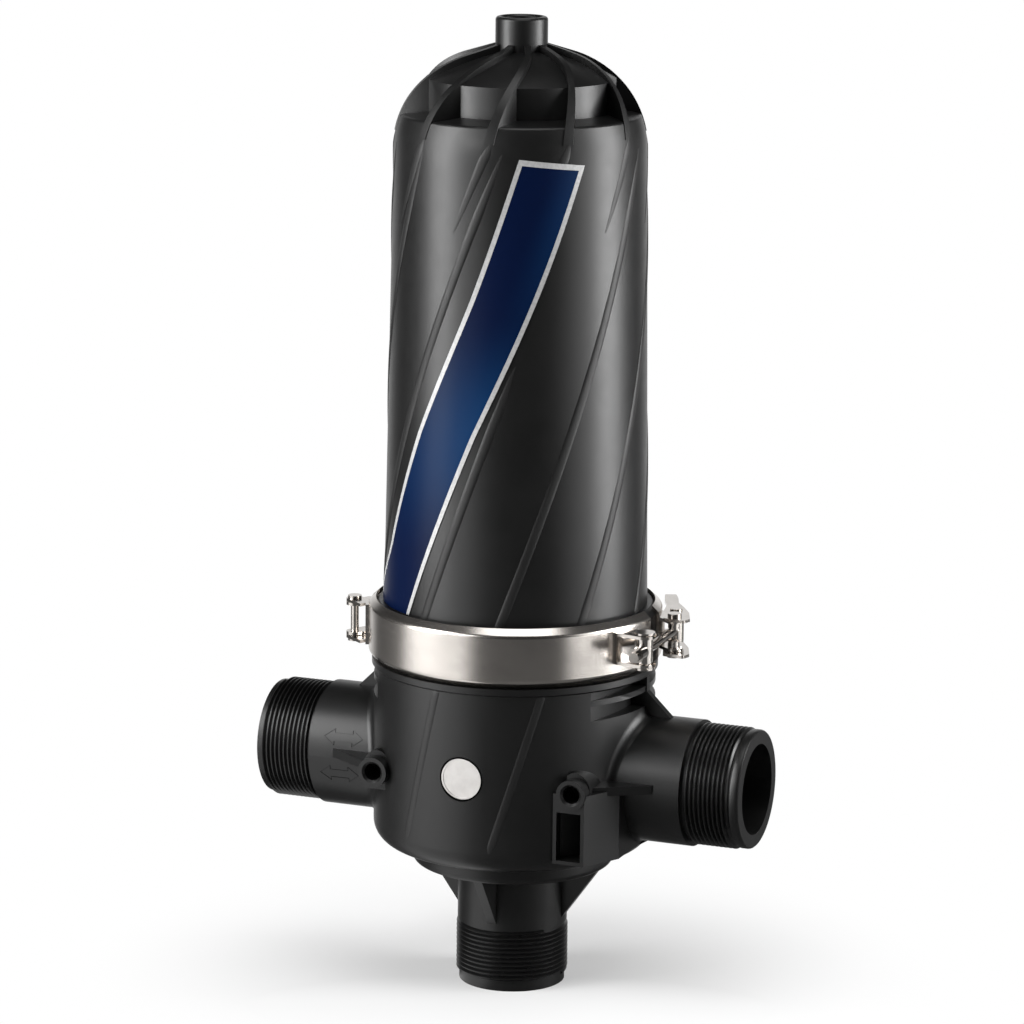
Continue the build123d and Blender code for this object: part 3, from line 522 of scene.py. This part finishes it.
# Camera
eye = Vector((793.2, -1998.3, 699.65)) * MM
heading, tilt, roll = radians(21.71), radians(12.15), radians(0.60)
ahead = Vector((-sin(heading) * cos(tilt), cos(heading) * cos(tilt), -sin(tilt)))
level_right = Vector((cos(heading), sin(heading), 0))
level_up = level_right.cross(ahead)
view_right = level_right * cos(roll) + level_up * sin(roll)
view_up = level_up * cos(roll) - level_right * sin(roll)
lens = bpy.data.cameras.new("camera")
lens.sensor_fit = "HORIZONTAL"
lens.sensor_width = 36.0
lens.lens = 158.2
lens.clip_end = 60.0
camera = bpy.data.objects.new("camera", lens)
camera.matrix_world = Matrix((
    (view_right.x, view_up.x, -ahead.x, eye.x), (view_right.y, view_up.y, -ahead.y, eye.y),
    (view_right.z, view_up.z, -ahead.z, eye.z), (0, 0, 0, 1)))
bpy.context.scene.collection.objects.link(camera)
bpy.context.scene.camera = camera


# Studio

def softbox(name, bearing, distance, height, size, power):
    """Area lamp at a bearing from the camera's own side, in degrees, aimed at the object's middle."""
    aim_z = 0.24
    angle = heading + radians(bearing)
    place = Vector(round_axis(angle, distance, height))
    lamp = bpy.data.lights.new(name, "AREA")
    lamp.shape = "RECTANGLE"
    lamp.size, lamp.size_y = size
    lamp.energy = power
    made = bpy.data.objects.new(name, lamp)
    aim = (Vector((0, 0, aim_z)) - place).normalized()
    made.matrix_world = Matrix.Translation(place) @ aim.to_track_quat("-Z", "Y").to_matrix().to_4x4()
    bpy.context.scene.collection.objects.link(made)


softbox("left_box", -71.0, 1.0, 0.57, (0.46, 1.05), 17.0)
softbox("left_wing", -43.0, 1.1, 0.50, (0.34, 1.05), 1.3)
softbox("right_box", 85.0, 1.0, 0.44, (0.45, 1.05), 18.0)
softbox("right_wing", 59.0, 1.1, 0.50, (0.34, 1.05), 1.3)
softbox("front_box", -46.0, 1.3, 0.76, (0.40, 0.36), 2.4)
softbox("top_box", 10.0, 0.25, 1.6, (0.9, 0.9), 6.0)


def rays(finish):
    """Masks of the rays that see plain white, from the camera or through glass, and of glossy rays."""
    seen, through, shiny = (finish.node("LightPath", out=kind)
                            for kind in ("Is Camera Ray", "Is Transmission Ray", "Is Glossy Ray"))
    return finish.math("MAXIMUM", seen, through), shiny


def studio_glow(finish, front, side, away):
    """What a shiny surface sees of the floor: white behind the object and at both sides, dim in front.

    The angles are in radians from the front side, and positive to the right."""
    turn = finish.math("ARCTAN2", side, front)
    left = turn.between(-1.75, -1.45) * turn.between(-0.45, -0.80)
    right = turn.between(0.60, 0.82) * turn.between(1.70, 1.45) * away.between(0.52, 0.85)
    back = finish.math("ABSOLUTE", turn).between(2.25, 2.75)
    return 0.04 + 1.1 * left + 1.3 * right + 0.95 * back


floor_finish = Finish("studio_floor")
place = floor_finish.place()
x, y = floor_finish.parts(place, "XY")
front = x * sin(heading) - y * cos(heading)
side = x * cos(heading) + y * sin(heading)
away = floor_finish.math("SQRT", x * x + y * y)
paper = floor_finish.noise(place, scale=3.0, detail=2.0, rough=0.5)
diffuse = floor_finish.node("BsdfDiffuse", None, {
    "Color": floor_finish.mix(paper, grey(0.70), grey(0.72))})
plain, shiny = rays(floor_finish)
glow = floor_finish.node("Emission", None, {
    "Color": grey(1.0), "Strength": plain + shiny * studio_glow(floor_finish, front, side, away)})
# the shadow is kept close round the foot and behind it, and fades into white further out and in front
white_share = floor_finish.math(
    "MAXIMUM", 0.15 + 0.85 * away.between(0.05, 0.22), 0.60 * front.between(-0.02, 0.05))
floor_finish.finish_with(floor_finish.node("MixShader", None, {
    0: plain * white_share + shiny * 0.9, 1: diffuse, 2: glow}))
bm = bmesh.new()
bmesh.ops.create_grid(bm, x_segments=1, y_segments=1, size=12.0)
floor_mesh = bpy.data.meshes.new("floor")
bm.to_mesh(floor_mesh)
bm.free()
floor_mesh.materials.append(floor_finish.material)
floor = bpy.data.objects.new("floor", floor_mesh)
bpy.context.scene.collection.objects.link(floor)

# The room: white for the camera and behind the object, dim on every other side
room = Finish("studio_room", bpy.data.worlds)
x, y = room.parts(room.node("TexCoord", out="Generated"), "XY")
behind = (y * cos(heading) - x * sin(heading)).between(0.80, 0.985)
plain, shiny = rays(room)
dim = (1.0 - shiny) * 0.08 + 0.03
room.finish_with(room.node("Background", None, {
    "Color": grey(1.0), "Strength": room.math("MAXIMUM", plain, dim + 0.90 * behind)}))
bpy.context.scene.world = room.material
bpy.context.scene.view_settings.view_transform = "Standard"
